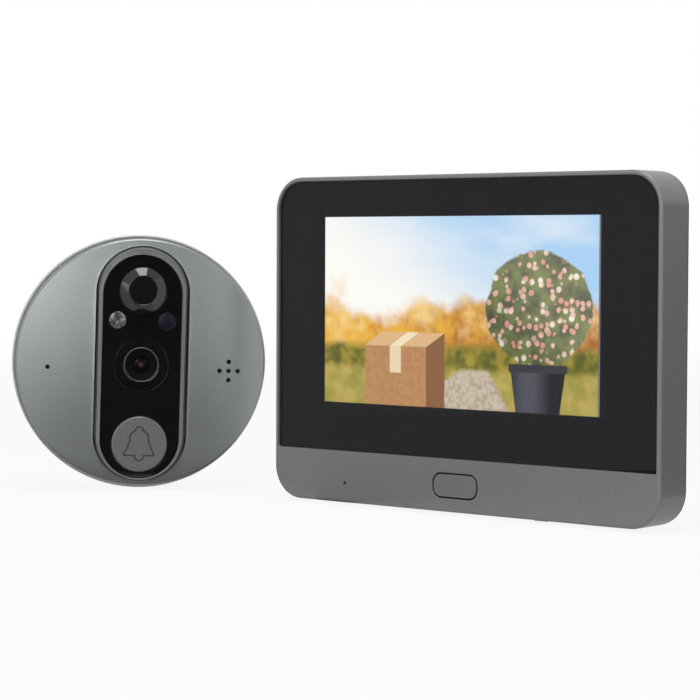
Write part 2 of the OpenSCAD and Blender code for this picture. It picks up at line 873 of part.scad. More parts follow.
module pir_sensor() {
    color("silver") at_outdoor() translate([0, 0, pir_z]) {
        slab(pir_can_front, cam_front) disc(pir_can_r);
        slab(cam_front - pir_foot_t, cam_front) disc(pir_foot_r);
    }
}

module ring(from, to, outer, inner) {
    slab(from, to) difference() {
        disc(outer);
        disc(inner);
    }
}

module lens_bezel() {
    color("black") at_outdoor() translate([0, 0, lens_z])
        ring(bezel_front, shell_wall, bezel_r, ring_r + panel_fit);
}

module lens_ring() {
    color("silver") at_outdoor() translate([0, 0, lens_z])
        ring(ring_front, shell_wall, ring_r, ring_r - ring_w);
}

// Black barrel with a funnel in front of its glass
module lens_barrel() {
    funnel_back = barrel_front + barrel_cone;
    eye_back = funnel_back + eye_t + panel_fit;
    color("#151515") at_outdoor() translate([0, 0, lens_z]) turned([
        [barrel_r, barrel_front], [barrel_r, barrel_back], [eye_r - barrel_lip, barrel_back],
        [eye_r - barrel_lip, eye_back], [eye_r + panel_fit, eye_back], [eye_r + panel_fit, funnel_back],
        [barrel_r - barrel_lip, barrel_front]]);
}

module lens_glass() {
    front = barrel_front + barrel_cone;
    bulge = [for (i = [0:6]) let (r = eye_r * i / 6) [r, front - eye_bulge * (1 - pow(r / eye_r, 2))]];
    color("indigo") at_outdoor() translate([0, 0, lens_z])
        turned(concat(bulge, [[eye_r, front + eye_t], [0, front + eye_t]]));
}

// Square holder that carries the barrel over the image sensor
module lens_holder() {
    color("#202020") at_outdoor() translate([0, 0, lens_z]) slab(cam_front - holder_h, cam_front)
        difference() {
            square(holder_w, center = true);
            disc(barrel_r + screw_fit);
        }
}

module image_sensor() {
    color("teal") at_outdoor() translate([0, 0, lens_z]) slab(cam_front - chip_t, cam_front)
        square(chip_w, center = true);
}

module lamp(side) {
    at_outdoor() translate([side * lamp_x, 0, lamp_z]) slab(panel_front, cam_front) disc(lamp_r);
}

module white_led() {
    color("lightgray") lamp(-1);
}

module ir_led() {
    color("midnightblue") lamp(1);
}

function bell_corner_side(inset) = [for (a = [-90:22.5:-22.5])
    [bell_body_r + bell_flare - bell_corner + (bell_corner - inset) * cos(a),
     bell_foot + bell_corner + (bell_corner - inset) * sin(a)]];

function bell_side(inset) = [for (i = [0:8]) let (u = 1 - i / 8)
    [bell_body_r - inset + bell_flare * pow(u, bell_curve),
     bell_body_z - u * (bell_body_z - bell_foot - bell_corner)]];

function bell_shoulder(inset) = [for (a = [10:10:80])
    [(bell_body_r - inset) * pow(cos(a), 2 / 3),
     bell_body_z + (bell_dome_h - inset) * pow(sin(a), 2 / 3)]];

// Bell sign: knob, body and clapper, drawn smaller by the inset
module bell_sign(inset) {
    right = concat(bell_corner_side(inset), bell_side(inset), bell_shoulder(inset));
    left = [for (i = [len(right) - 1:-1:0]) [-right[i][0], right[i][1]]];
    polygon(concat(right, left));
    translate([0, bell_knob_z]) disc(bell_knob_r - inset);
    translate([0, bell_foot]) disc(bell_clapper_r - inset);
}

// Round call button with an engraved bell, snapped through the tray
module bell_button() {
    color("gray") at_outdoor() translate([0, 0, bell_z]) difference() {
        union() {
            slab(bell_front, bell_back) disc(bell_r);
            slab(bell_back, collar_back) disc(stem_r);
            slab(collar_back - collar_t, collar_back) disc(collar_r);
        }
        slab(bell_front - cut, bell_front + bell_cut) difference() {
            bell_sign(0);
            bell_sign(bell_line);
        }
    }
}

module bell_switch_plunger() {
    color("black") at_outdoor() translate([0, 0, bell_z])
        slab(collar_back, cam_front - tact_t + plunger_in) disc(plunger_r);
}

module bell_switch_case() {
    color("silver") at_outdoor() translate([0, 0, bell_z]) tact_case(cam_front);
}

module camera_board() {
    color("darkgreen") at_outdoor() slab(cam_front, cam_back) difference() {
        disc(cam_r);
        post_places() disc(long_screw_r + head_fit);
    }
}

module outdoor_speaker() {
    color("darkgray") at_outdoor() translate([voice_x, 0, -sound_drop])
        slab(shell_wall, shell_wall + voice_t) disc(voice_r);
}

module outdoor_microphone() {
    color("gold") at_outdoor() translate([ear_x, 0, -sound_drop])
        slab(shell_wall, shell_wall + ear_t) disc(ear_r);
}

module bush_places() {
    for (s = [-1, 1]) translate([0, s * screw_pitch / 2]) children();
}

// Round base with the posts for the long screws and a hub for the door screws
module back_shell() {
    color("silver") at_outdoor() difference() {
        union() {
            difference() {
                union() {
                    slab(base_front, base_back) disc(base_r);
                    slab(shell_d - spigot_l, base_back) disc(spigot_r);
                }
                slab(shell_d - spigot_l - cut, floor_in) disc(spigot_r - spigot_t);
            }
            slab(bush_front, base_back) rounded(hub_w, hub_h, bush_r);
            slab(cam_back, base_back) post_places() disc(post_r);
        }
        slab(cam_back - cut, base_back + cut) {
            post_places() disc(long_screw_r + head_fit);
            bush_places() disc(bush_r + screw_fit);
            rotate(90) pill(grommet_h + 2 * screw_fit, grommet_w + 2 * screw_fit);
        }
        slab(base_back - long_head_h, base_back + cut) post_places() disc(long_head_r + head_fit);
        ring(base_front - cut, base_front + seam_d, face_r + seam_w, face_r - seam_in);
    }
}

module back_shell_screws() {
    color("silver") at_outdoor() {
        slab(base_back - long_head_h, base_back) post_places() disc(long_head_r);
        slab(cam_front - long_bite + screw_tip, base_back - long_head_h) post_places() disc(long_screw_r);
    }
}

// Brass bushes that the door screws go into
module mounting_bushes() {
    color("goldenrod") at_outdoor() slab(bush_front, base_back) bush_places() difference() {
        disc(bush_r);
        disc(bush_hole_r);
    }
}

// Rubber plug with the slot that the flat cable leaves by
module ribbon_grommet() {
    color("#303030") at_outdoor() slab(bush_front, base_back) difference() {
        rotate(90) pill(grommet_h, grommet_w);
        square(grommet_slot, center = true);
    }
}

module door_gasket() {
    color("#3a3a3a") at_outdoor()
        ring(base_back, base_back + gasket_t, base_r - gasket_in, base_r - gasket_in - gasket_w);
}

front_frame();
cover_glass();
glass_mask();
glass_tape();
lcd_cell();
lcd_backlight();
home_button();
home_switch_plunger();
home_switch_case();
main_board();
board_screws();
wifi_module();
battery_pack();
monitor_speaker();
monitor_microphone();
ribbon_socket();
usb_socket();
power_switch_case();
power_switch_knob();
back_cover();
back_cover_screws();
wall_bracket();
bracket_pads();
outer_shell();
pill_trim();
front_panel();
pir_lens();
pir_sensor();
lens_bezel();
lens_ring();
lens_barrel();
lens_glass();
lens_holder();
image_sensor();
white_led();
ir_led();
bell_button();
bell_switch_plunger();
bell_switch_case();
camera_board();
outdoor_speaker();
outdoor_microphone();
back_shell();
back_shell_screws();
mounting_bushes();
ribbon_grommet();
door_gasket();
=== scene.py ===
# Peephole door camera: a flat indoor monitor on its door bracket and a round outdoor camera.
# The sections follow the assembly, first the monitor from its front to its back, then the
# outdoor unit from its shell to its gasket, and last the studio that shows them.
import math
import bmesh
import bpy
from mathutils import Matrix, Vector


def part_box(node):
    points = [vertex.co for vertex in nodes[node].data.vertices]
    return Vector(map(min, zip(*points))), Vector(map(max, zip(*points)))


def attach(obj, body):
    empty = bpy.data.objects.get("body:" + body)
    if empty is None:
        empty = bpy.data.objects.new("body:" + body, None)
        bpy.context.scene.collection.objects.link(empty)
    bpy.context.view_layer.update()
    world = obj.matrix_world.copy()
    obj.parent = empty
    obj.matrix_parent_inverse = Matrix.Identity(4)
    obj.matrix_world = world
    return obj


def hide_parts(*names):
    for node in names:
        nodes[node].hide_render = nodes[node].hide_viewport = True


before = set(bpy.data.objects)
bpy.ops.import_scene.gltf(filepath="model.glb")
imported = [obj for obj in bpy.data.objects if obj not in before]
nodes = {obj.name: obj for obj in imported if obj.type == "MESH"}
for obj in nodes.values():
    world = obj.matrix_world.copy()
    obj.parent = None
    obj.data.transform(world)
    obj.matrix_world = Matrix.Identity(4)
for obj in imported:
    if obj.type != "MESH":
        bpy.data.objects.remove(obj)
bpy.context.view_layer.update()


# Front frame: one moulding with the lip round the glass, the chin and the side walls.
# Grey plastic under a fine metallic lacquer. Its rims are softly rounded, and it carries
# everything else in the monitor.
class Shade:
    """A value in a material. Arithmetic on it adds Math nodes, and node() adds any other."""

    def __init__(self, tree, socket=None):
        self.tree, self.socket = tree, socket

    def node(self, kind, settings=(), sockets=(), out=0):
        made = self.tree.nodes.new(kind)
        for name, value in dict(settings).items():
            if name == "stops":
                ramp = made.color_ramp.elements
                while len(ramp) < len(value):
                    ramp.new(1)
                for stop, (position, colour) in zip(ramp, value):
                    stop.position, stop.color = position, (*colour, 1)
            else:
                setattr(made, name, value)
        for name, value in dict(sockets).items():
            if isinstance(value, Shade):
                self.tree.links.new(value.socket, made.inputs[name])
            else:
                made.inputs[name].default_value = value
        return Shade(self.tree, made.outputs[out])

    def math(self, operation, *values, clamp=False):
        settings = {"operation": operation, "use_clamp": clamp}
        return self.node("ShaderNodeMath", settings, dict(enumerate(values)))

    def __add__(self, other):
        return self.math("ADD", self, other)

    def __sub__(self, other):
        return self.math("SUBTRACT", self, other)

    def __rsub__(self, other):
        return self.math("SUBTRACT", other, self)

    def __mul__(self, other):
        return self.math("MULTIPLY", self, other)

    __radd__ = __add__
    __rmul__ = __mul__

    def noise(self, size, detail=2.0, stretch=(1, 1, 1)):
        """Cloudy noise on this vector, with blobs of that size in metres."""
        vector = self.node("ShaderNodeMapping", {}, {"Vector": self, "Scale": stretch})
        sockets = {"Vector": vector, "Scale": 1 / size, "Detail": detail}
        return self.node("ShaderNodeTexNoise", {}, sockets)

    def tint(self, colour):
        """The colour, made lighter or darker by this value."""
        sockets = {0: colour, "Scale": self}
        return self.node("ShaderNodeVectorMath", {"operation": "SCALE"}, sockets)

    def bump(self, depth, strength=1.0):
        sockets = {"Height": self, "Distance": depth, "Strength": strength}
        return self.node("ShaderNodeBump", {}, sockets)


def paint(red, green, blue):
    """A screen colour as the linear colour that renders to it."""
    part = [x / 255 for x in (red, green, blue)]
    return tuple(x / 12.92 if x < 0.04045 else ((x + 0.055) / 1.055) ** 2.4 for x in part)


def finish_of(name, **fixed):
    """A new material, its place on the piece, and a function that feeds its shader."""
    made = bpy.data.materials.new(name)
    made.use_nodes = True
    tree = made.node_tree
    shader = tree.nodes["Principled BSDF"]
    for socket, value in fixed.items():
        shader.inputs[socket.replace("_", " ")].default_value = value

    def feed(**varied):
        for socket, value in varied.items():
            tree.links.new(value.socket, shader.inputs[socket.replace("_", " ")])

    place = Shade(tree).node("ShaderNodeTexCoord", out="Object")
    return made, place, feed


def lacquer(name, colour, rough=0.4, metal=0.1, shine=0.3, sunk=None):
    """Grey lacquer with fine metal flakes, darkened where a given mask asks: painted shade in gaps
    and grooves, a darker engraved line, and the case's dark joint.
    """
    made, place, feed = finish_of(name, Metallic=metal, Specular_IOR_Level=shine)
    flake = place.noise(0.0004, 3)
    cloud = place.noise(0.014, 3)
    tone = 0.73 + flake * 0.5 + cloud * 0.04
    if sunk:
        tone = tone * (1 - sunk(place))
    feed(
        Base_Color=tone.tint(colour),
        Roughness=rough - 0.05 + flake * 0.1,
        Normal=flake.bump(0.00001, 0.35),
    )
    return made


def moulded(node, rims, place=Matrix()):
    """A copy of a CAD solid with rounded rims, each a radius and a test of an edge's middle."""
    bm = bmesh.new()
    bm.from_mesh(nodes[node].data)
    bmesh.ops.remove_doubles(bm, verts=bm.verts, dist=2e-6)
    flat = math.radians(0.2)
    bmesh.ops.dissolve_limit(bm, angle_limit=flat, verts=bm.verts, edges=bm.edges)
    home = place.inverted()
    for radius, chosen in rims:
        sharp = [
            edge
            for edge in bm.edges
            if edge.is_manifold
            and edge.calc_face_angle() > math.radians(40)
            and chosen(home @ ((edge.verts[0].co + edge.verts[1].co) / 2) / MM)
        ]
        bmesh.ops.bevel(
            bm, geom=sharp, offset=radius * MM, offset_type="OFFSET", affect="EDGES",
            segments=4, profile=0.5, material=-1, clamp_overlap=True,
        )
    return bm


def shown(bm, name, look, body, node, flat=True):
    """Makes the piece, lets it ride on its body and stand for its CAD node."""
    mesh = bpy.data.meshes.new(name)
    bm.to_mesh(mesh)
    bm.free()
    mesh.materials.append(look)
    mesh.shade_smooth()
    mesh.set_sharp_from_angle(angle=math.radians(35))
    piece = bpy.data.objects.new(name, mesh)
    bpy.context.scene.collection.objects.link(piece)
    if flat:
        piece.modifiers.new("flat_faces", "WEIGHTED_NORMAL").keep_sharp = True
    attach(piece, body)
    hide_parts(node)
    return piece


MM = 0.001
FRONT = -14.7
CASE_BACK = FRONT + 12.8
CORNER_X, CORNER_Z, CORNER_R = 57, 37.3, 9.3
KEY_Z, KEY_HALF_WIDE, KEY_HALF_HIGH = -40.1, 9, 5


def across(place, axis, middle=0.0):
    """Millimetres along one axis, from the middle."""
    return place.node("ShaderNodeSeparateXYZ", {}, {0: place}, out=axis) * 1000 - middle


def size_of(value):
    """The value without its sign."""
    return value.math("ABSOLUTE", value)


def soft(distance, blur):
    """One inside, none outside, fading over the blur, from a distance to an edge."""
    settings = {"interpolation_type": "SMOOTHSTEP"}
    sockets = {"Value": distance, "From Min": -blur / 2, "From Max": blur / 2}
    return distance.node("ShaderNodeMapRange", settings, sockets)


def case_joint_and_key_shade(place):
    """The dark joint at the case's back edge, and painted shade on the sides of the opening for the
    home button.
    """
    x, z = across(place, "X"), across(place, "Z", KEY_Z)
    # painted shade: the walls of the key's opening are darkened as if the gap lay in shade
    key = soft(KEY_HALF_WIDE - size_of(x), 0.1) * soft(KEY_HALF_HIGH - size_of(z), 0.1)
    key = key * soft(across(place, "Y", FRONT + 0.1), 0.08)
    joint = soft(across(place, "Y", CASE_BACK - 0.45), 0.1)
    return joint.math("MAXIMUM", joint * 0.75, key * 0.85)


case_grey = lacquer("case_grey", paint(109, 110, 111), 0.36, 0.25, sunk=case_joint_and_key_shade)


def on_corner(p):
    """Whether a point lies on one of the case's rounded corners."""
    x, z = abs(p.x) - CORNER_X, abs(p.z) - CORNER_Z
    return x > 0 and z > 0 and math.hypot(x, z) > CORNER_R


front_frame = moulded("front_frame", [
    (0.8, lambda p: p.y < FRONT + 0.1 and (abs(p.x) > 66 or abs(p.z) > 46.4 or on_corner(p))),
    (0.12, lambda p: p.y < FRONT + 0.1 and p.z > -33 and abs(p.x) < 65.6),
    (0.3, lambda p: p.y > CASE_BACK - 0.1 and (abs(p.x) > 65.5 or abs(p.z) > 45.5)),
    (0.18, lambda p: p.y < FRONT + 0.1 and abs(p.x) < KEY_HALF_WIDE and -45 < p.z < -35),
])
shown(front_frame, "front_frame_shell", case_grey, "monitor", "front_frame")


# Cover glass: a clear sheet with ground edges, stuck behind the lip.
# It lies a hair in front of the black print on its back, which carries its gloss.
clear_glass, place, feed = finish_of("clear_glass", Base_Color=(0.01, 0.01, 0.012, 1), Alpha=0.04)
feed(Roughness=place.noise(0.03, 2) * 0.05)
cover_glass = moulded("cover_glass", [(0.05, lambda p: p.y < FRONT + 0.5)])
for vertex in cover_glass.verts:
    if vertex.co.y > (FRONT + 0.8) * MM:
        vertex.co.y -= 0.03 * MM
shown(cover_glass, "cover_glass_sheet", clear_glass, "monitor", "cover_glass")


# Black print on the back of the glass, and the adhesive ring behind it.
# The print is open over the screen. Both are as the CAD has them.
def dress(look, *names):
    """Gives CAD solids that are shown as they are their material."""
    for name in names:
        nodes[name].data.materials.clear()
        nodes[name].data.materials.append(look)


mask_black, place, feed = finish_of("mask_black", IOR=1.25)
feed(
    Base_Color=(0.9 + place.noise(0.004) * 0.2).tint(paint(20, 20, 23)),
    Roughness=place.noise(0.03, 2) * 0.05,
)
dress(mask_black, "glass_mask")
tape_black, place, feed = finish_of("tape_black", Roughness=0.8)
feed(Base_Color=(0.8 + place.noise(0.0004) * 0.4).tint(paint(40, 40, 42)))
dress(tape_black, "glass_tape")


# Screen: the liquid crystal cell that shows the picture, and the backlight behind it.
# The picture is a front garden in autumn light, with a parcel and a flowering shrub.
SCREEN_Z = 8.25
screen, place, feed = finish_of(
    "screen_picture", Base_Color=(*paint(20, 20, 23), 1), Roughness=0.03, IOR=1.25,
    Emission_Strength=1.04)


def over(below, above, mask):
    """One colour laid over another where the mask is one."""
    settings = {"data_type": "RGBA"}
    return mask.node("ShaderNodeMix", settings, {0: mask, 6: below, 7: above}, out=2)


def solid(colour):
    """A screen colour for a socket that also takes alpha."""
    return (*paint(*colour), 1)


def least(*values):
    """The smallest of several distances, so what lies inside all the edges."""
    made = values[0]
    for value in values[1:]:
        made = made.math("MINIMUM", made, value)
    return made


wide = across(place, "X")
high = across(place, "Z", SCREEN_Z)
SHRUB_X, PARCEL_X = 27, -22
from_shrub = size_of(wide - SHRUB_X)
cloud = place.noise(0.022, 3, (0.6, 1, 1.6))
leaf = place.noise(0.009, 3)
twig = place.noise(0.004, 2)
grain = place.noise(0.0012, 2)

blue = soft(wide * 0.6 + high * 0.9 - 14 + cloud * 10, 46)
picture = over(solid((255, 253, 247)), solid((150, 203, 246)), blue * 0.85)
picture = over(picture, solid((252, 250, 250)), soft(cloud * 30 - 17, 12) * 0.75)

crown = leaf * 16 + place.noise(0.03, 1) * 30 - 22 - wide * 0.12
far_trees = over(solid((236, 178, 62)), solid((176, 104, 40)), soft(twig * 14 - 7 + wide * 0.1, 9))
far_trees = over(far_trees, solid((252, 224, 150)), soft(leaf * 20 - 12, 6) * 0.8)
picture = over(picture, far_trees, soft(crown - high, 7))

hedge_top = leaf * 5 - 14 + place.noise(0.05, 0) * 5
hedge = over(solid((92, 94, 30)), solid((168, 150, 52)), soft(twig * 20 - 10.5, 8))
picture = over(picture, hedge, soft(hedge_top - high, 3.5))

lawn = over(solid((150, 146, 62)), solid((190, 168, 88)), soft(twig * 16 - 8, 7))
picture = over(picture, lawn, soft(-15.5 - high, 2.5))
path_half = (0 - high) * 1.15 - 13
path_middle = 6 + (high + 15) * 0.5
path_side = path_half - size_of(wide - path_middle)
stone = over(solid((206, 192, 172)), solid((176, 160, 140)), soft(grain * 10 - 5.2, 4))
picture = over(picture, stone, soft(least(path_side, -15.5 - high), 1.6))

shrub_wide, shrub_high = (wide - SHRUB_X) * 0.9, high - 2
shrub_far = wide.math("POWER", shrub_wide, 2) + high.math("POWER", shrub_high, 2)
shrub_edge = 15.5 + leaf * 4 - 2 - shrub_far.math("SQRT", shrub_far)
petal = place.node("ShaderNodeTexVoronoi", {}, {"Vector": place, "Scale": 520.0})
petal_tone = place.node(
    "ShaderNodeTexVoronoi", {"feature": "F1"}, {"Vector": place, "Scale": 520.0}, out="Color")
tone = petal_tone.node("ShaderNodeSeparateXYZ", {}, {0: petal_tone}, out="X")
greens = over(solid((40, 58, 24)), solid((112, 128, 50)), soft(twig * 12 - 6, 5))
blossom = over(solid((244, 206, 190)), solid((226, 150, 132)), soft(tone * 2 - 1, 1.2))
blossom = over(blossom, solid((252, 240, 226)), soft(twig * 8 - 4.6, 1.6))
in_petal = soft(0.44 - petal + twig * 0.2 - 0.1, 0.2) * soft(tone * 4 - 1.4, 0.4)
shrub = over(greens, blossom, in_petal)
shade = soft(wide * 0.5 + high * 0.6 - 8, 26)
shrub = over(shrub, solid((34, 40, 22)), (1 - shade) * 0.35)
shrub = over(shrub, solid((255, 244, 226)), shade * 0.12)
stem = least(0.9 - from_shrub, -8 - high)
picture = over(picture, solid((70, 48, 34)), soft(stem, 0.5))
picture = over(picture, shrub, soft(shrub_edge, 0.8))
pot_side = 8.2 + (high + 20) * 0.16 - from_shrub
pot_light = soft(4.5 - size_of(wide - 24), 7)
pot = over(solid((26, 26, 30)), solid((78, 80, 88)), pot_light)
picture = over(picture, pot, soft(least(pot_side, -14.5 - high), 0.5))
rim = least(9.6 - from_shrub, -13.2 - high, high + 15.4)
picture = over(picture, solid((52, 53, 58)), soft(rim, 0.4))

cardboard = over(solid((196, 146, 98)), solid((178, 128, 82)), soft(grain * 8 - 4, 6))
box_front = least(wide + 33, -11 - wide, -9.5 - high)
picture = over(picture, cardboard, soft(box_front, 0.35))
box_side = least(wide + 11, -4.5 - wide, -9.5 + (wide + 11) * 0.62 - high)
picture = over(picture, solid((140, 96, 60)), soft(box_side, 0.35))
lean = wide - (high + 9.5) * 1.6
box_top = least(lean + 33, -11 - lean, high + 9.5, -5.5 - high)
picture = over(picture, solid((224, 182, 134)), soft(box_top, 0.35))
strip = least(2 - size_of(wide - PARCEL_X), -9.5 - high, high + 17)
strip_top = least(2 - size_of(lean - PARCEL_X), high + 9.5, -5.5 - high)
picture = over(picture, solid((236, 214, 176)), soft(strip, 0.3))
picture = over(picture, solid((246, 228, 194)), soft(strip_top, 0.3))
lit = least(wide + 48.1, 46.5 - wide, 26.95 - high, high + 26.25)
picture = over((0.002, 0.002, 0.0025, 1), picture, soft(lit, 0.05))
# painted highlight: a pale strip past the picture's right side stands for the lit edge of the
# cell's metal frame, drawn glowing
edge = least(wide - 46.55, 47.0 - wide, 26.95 - high, high + 26.25)
feed(Emission_Color=over(picture, solid((112, 118, 122)), soft(edge, 0.05)))
dress(screen, "lcd_cell")
backlight_white, place, feed = finish_of("backlight_white", Roughness=0.5)
feed(Base_Color=(0.97 + place.noise(0.002) * 0.06).tint(paint(232, 232, 228)))
dress(backlight_white, "lcd_backlight")


# Home button: an oblong key moulded in the case's grey, with a gap round it that is darkened by
# painted shade.
# A flange holds it behind the chin, and its plunger works a tact switch.
def key_gap_shade(place):
    """Painted shade on the key's sides and flange, deep in the gap."""
    return soft(across(place, "Y", FRONT + 0.12), 0.1) * 0.85


key_grey = lacquer("key_grey", paint(106, 107, 108), 0.36, 0.25, sunk=key_gap_shade)
home_button = moulded("home_button", [(0.2, lambda p: p.y < FRONT + 0.1)])
shown(home_button, "home_button_key", key_grey, "home_button", "home_button")


def moulding(name, colour, rough=0.5, grain=0.0004):
    """Moulded plastic or rubber with a fine uneven grain."""
    made, place, feed = finish_of(name)
    fine = place.noise(grain, 3)
    feed(
        Base_Color=(0.9 + fine * 0.2).tint(paint(*colour)),
        Roughness=rough - 0.08 + fine * 0.16,
        Normal=fine.bump(0.00002, 0.4),
    )
    return made


def metal(name, colour, rough=0.3, stretch=(1, 1, 12)):
    """Bare metal with faint drawn lines."""
    made, place, feed = finish_of(name, Metallic=1.0)
    line = place.noise(0.0005, 3, stretch)
    feed(
        Base_Color=(0.92 + line * 0.16).tint(paint(*colour)),
        Roughness=rough - 0.06 + line * 0.12,
        Normal=line.bump(0.000008, 0.4),
    )
    return made


part_black = moulding("part_black", (44, 44, 46))
switch_steel = metal("switch_steel", (190, 190, 190), 0.35)
dress(part_black, "home_switch_plunger", "bell_switch_plunger", "lens_holder")
dress(part_black, "monitor_speaker", "outdoor_speaker")
dress(switch_steel, "home_switch_case", "bell_switch_case", "power_switch_case")


# Main board and camera board: glass-fibre boards with green solder mask over copper tracks.
# Small screws hold the main board to bosses in the frame.
board_green, place, feed = finish_of("board_green", Roughness=0.35)
track = place.node(
    "ShaderNodeTexVoronoi", {"distance": "CHEBYCHEV", "feature": "DISTANCE_TO_EDGE"},
    {"Vector": place, "Scale": 260.0})
copper = soft(0.06 - track, 0.03)
feed(
    Base_Color=over(solid((18, 74, 42)), solid((40, 112, 62)), copper),
    Normal=copper.bump(0.00003),
)
dress(board_green, "main_board", "camera_board")
screw_steel = metal("screw_steel", (168, 168, 172), 0.3)
dress(screw_steel, "board_screws")


# Parts on the boards: radio module under its shield, foil battery, microphones, image chip,
# the socket for the flat cable and the sensor can. All are bought in and soldered or glued on.
shield_steel = metal("shield_steel", (200, 200, 202), 0.28)
battery_foil = metal("battery_foil", (160, 164, 170), 0.4, (1, 1, 1))
socket_ivory = moulding("socket_ivory", (226, 218, 194))
chip_green = moulding("chip_green", (40, 92, 92), 0.2)
dress(shield_steel, "wifi_module", "pir_sensor", "usb_socket")
dress(battery_foil, "battery_pack")
dress(socket_ivory, "ribbon_socket")
dress(chip_green, "image_sensor")


def microphone(name, port):
    """A gilded can with black gauze over its sound port."""
    made, place, feed = finish_of(name, Roughness=0.4)
    settings = {"operation": "DISTANCE"}
    away = place.node("ShaderNodeVectorMath", settings, {0: place, 1: port}, out="Value")
    gauze = soft(1.5 - away * 1000, 0.2)
    wire = place.noise(0.0002, 1)
    feed(
        Base_Color=over(solid((214, 178, 104)), solid((9, 9, 10)), gauze),
        Metallic=(1 - gauze) * 0.9 + wire * 0.1,
    )
    return made


UNIT = (
    Matrix.Translation((-114 * MM, -22.7 * MM, -8.8 * MM))
    @ Matrix.Rotation(math.radians(48), 4, "Z")
    @ Matrix.Rotation(math.radians(1.5), 4, "Y")
)
mic_low, mic_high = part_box("monitor_microphone")
front_port = (mic_low + mic_high) / 2
front_port.y = mic_low.y
dress(microphone("monitor_mic_gold", front_port), "monitor_microphone")
unit_port = UNIT @ Vector((-28.3 * MM, 2 * MM, -1.85 * MM))
dress(microphone("outdoor_mic_gold", unit_port), "outdoor_microphone")


# Power switch: a small black knob that slides in a slot of the lower wall.
# It is moulded with softly rounded edges, and its stem works the switch on the board.
knob = moulded("power_switch_knob", [(0.25, lambda p: p.z < -46.5)])
shown(knob, "power_switch_slider", part_black, "power_knob", "power_switch_knob")


# Back cover: a dark moulding with slots for the bracket's hooks, a window for the flat cable
# and slots over the loudspeaker. Screws in its corners hold it in the frame.
cover_black = moulding("cover_black", (44, 45, 46), 0.55, 0.0005)
back_cover = moulded("back_cover", [
    (0.3, lambda p: p.y > -1.4 and (abs(p.x) > 57 or abs(p.z) > 37)),
])
shown(back_cover, "back_cover_shell", cover_black, "monitor", "back_cover")


def cross_head(bm, place, radius, shank, height, length):
    """Adds a screw that points down its own -Z: a low round head with a cross recess."""
    arm, thin, deep = radius * 0.58, radius * 0.17, height * 0.6
    corners = [(arm, thin), (thin, thin), (thin, arm)]
    plus = []
    for turn in range(4):
        spin = Matrix.Rotation(turn * math.pi / 2, 2)
        plus += [bm.verts.new((*(spin @ Vector(corner)), 0)) for corner in corners]
    slot = [bm.edges.new((plus[i - 1], plus[i])) for i in range(len(plus))]
    rim = bmesh.ops.create_circle(bm, radius=radius * 0.94, segments=32)["verts"]
    top = slot + list({edge for vertex in rim for edge in vertex.link_edges})
    bmesh.ops.triangle_fill(bm, edges=top, use_beauty=True)
    below = bmesh.ops.extrude_edge_only(bm, edges=slot)["geom"]
    floor = [part for part in below if isinstance(part, bmesh.types.BMVert)]
    bmesh.ops.translate(bm, verts=floor, vec=(0, 0, -deep))
    floor_rim = [part for part in below if isinstance(part, bmesh.types.BMEdge)]
    bmesh.ops.contextual_create(bm, geom=floor_rim)
    outer = [edge for edge in top if edge not in slot]
    rings = [(radius, radius * 0.06), (radius, height), (shank, height), (shank, height + length)]
    for width, drop in rings:
        below = bmesh.ops.extrude_edge_only(bm, edges=outer)["geom"]
        ring = [part for part in below if isinstance(part, bmesh.types.BMVert)]
        outer = [part for part in below if isinstance(part, bmesh.types.BMEdge)]
        size = width / math.hypot(ring[0].co.x, ring[0].co.y)
        bmesh.ops.scale(bm, verts=ring, vec=(size, size, 1))
        bmesh.ops.translate(bm, verts=ring, vec=(0, 0, -drop - ring[0].co.z))
    bmesh.ops.contextual_create(bm, geom=outer)
    bmesh.ops.recalc_face_normals(bm, faces=bm.faces)
    bmesh.ops.transform(bm, matrix=place, verts=bm.verts)


def screws(places, *size):
    """One mesh of screws, each turned a little differently."""
    bm = bmesh.new()
    for number, (place, turn) in enumerate(places):
        one = bmesh.new()
        cross_head(one, place @ Matrix.Rotation(turn, 4, "Z"), *(x * MM for x in size))
        mesh = bpy.data.meshes.new(f"screw_{number}")
        one.to_mesh(mesh)
        one.free()
        bm.from_mesh(mesh)
        bpy.data.meshes.remove(mesh)
    return bm


COVER_BACK = FRONT + 13.4
SCREW_HEAD = 1.9
outwards = Matrix.Rotation(-math.pi / 2, 4, "X")
corner_low, corner_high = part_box("back_cover_screws")
corner = (corner_high.x - SCREW_HEAD * MM, corner_high.z - SCREW_HEAD * MM)
places = [
    (Matrix.Translation((x * corner[0], COVER_BACK * MM, z * corner[1])) @ outwards,
     0.4 + x + 0.6 * z)
    for x in (-1, 1) for z in (-1, 1)
]
shown(screws(places, SCREW_HEAD, 1.0, 1.0, 6.5), "back_cover_screw_set", screw_steel, "monitor",
      "back_cover_screws", flat=False)


# Door bracket: galvanised sheet steel, cut and bent into a plate with four hooks.
# Adhesive foam strips hold it to the door while the screws go in.
bracket_steel, place, feed = finish_of("bracket_steel", Metallic=1.0)
spangle = place.node("ShaderNodeTexVoronoi", {}, {"Vector": place, "Scale": 240.0}, out="Color")
spangle = spangle.node("ShaderNodeSeparateXYZ", {}, {0: spangle}, out="X")
feed(
    Base_Color=(0.85 + spangle * 0.2).tint(paint(186, 188, 190)),
    Roughness=0.3 + spangle * 0.12,
    Normal=place.noise(0.0006, 3).bump(0.00001, 0.5),
)
bracket = moulded("wall_bracket", [(0.15, lambda p: abs(p.x) > 30 or abs(p.z) > 20)])
shown(bracket, "door_bracket", bracket_steel, "door_mount", "wall_bracket")
pad_foam = moulding("pad_foam", (62, 62, 64), 0.9, 0.0003)
dress(pad_foam, "bracket_pads")


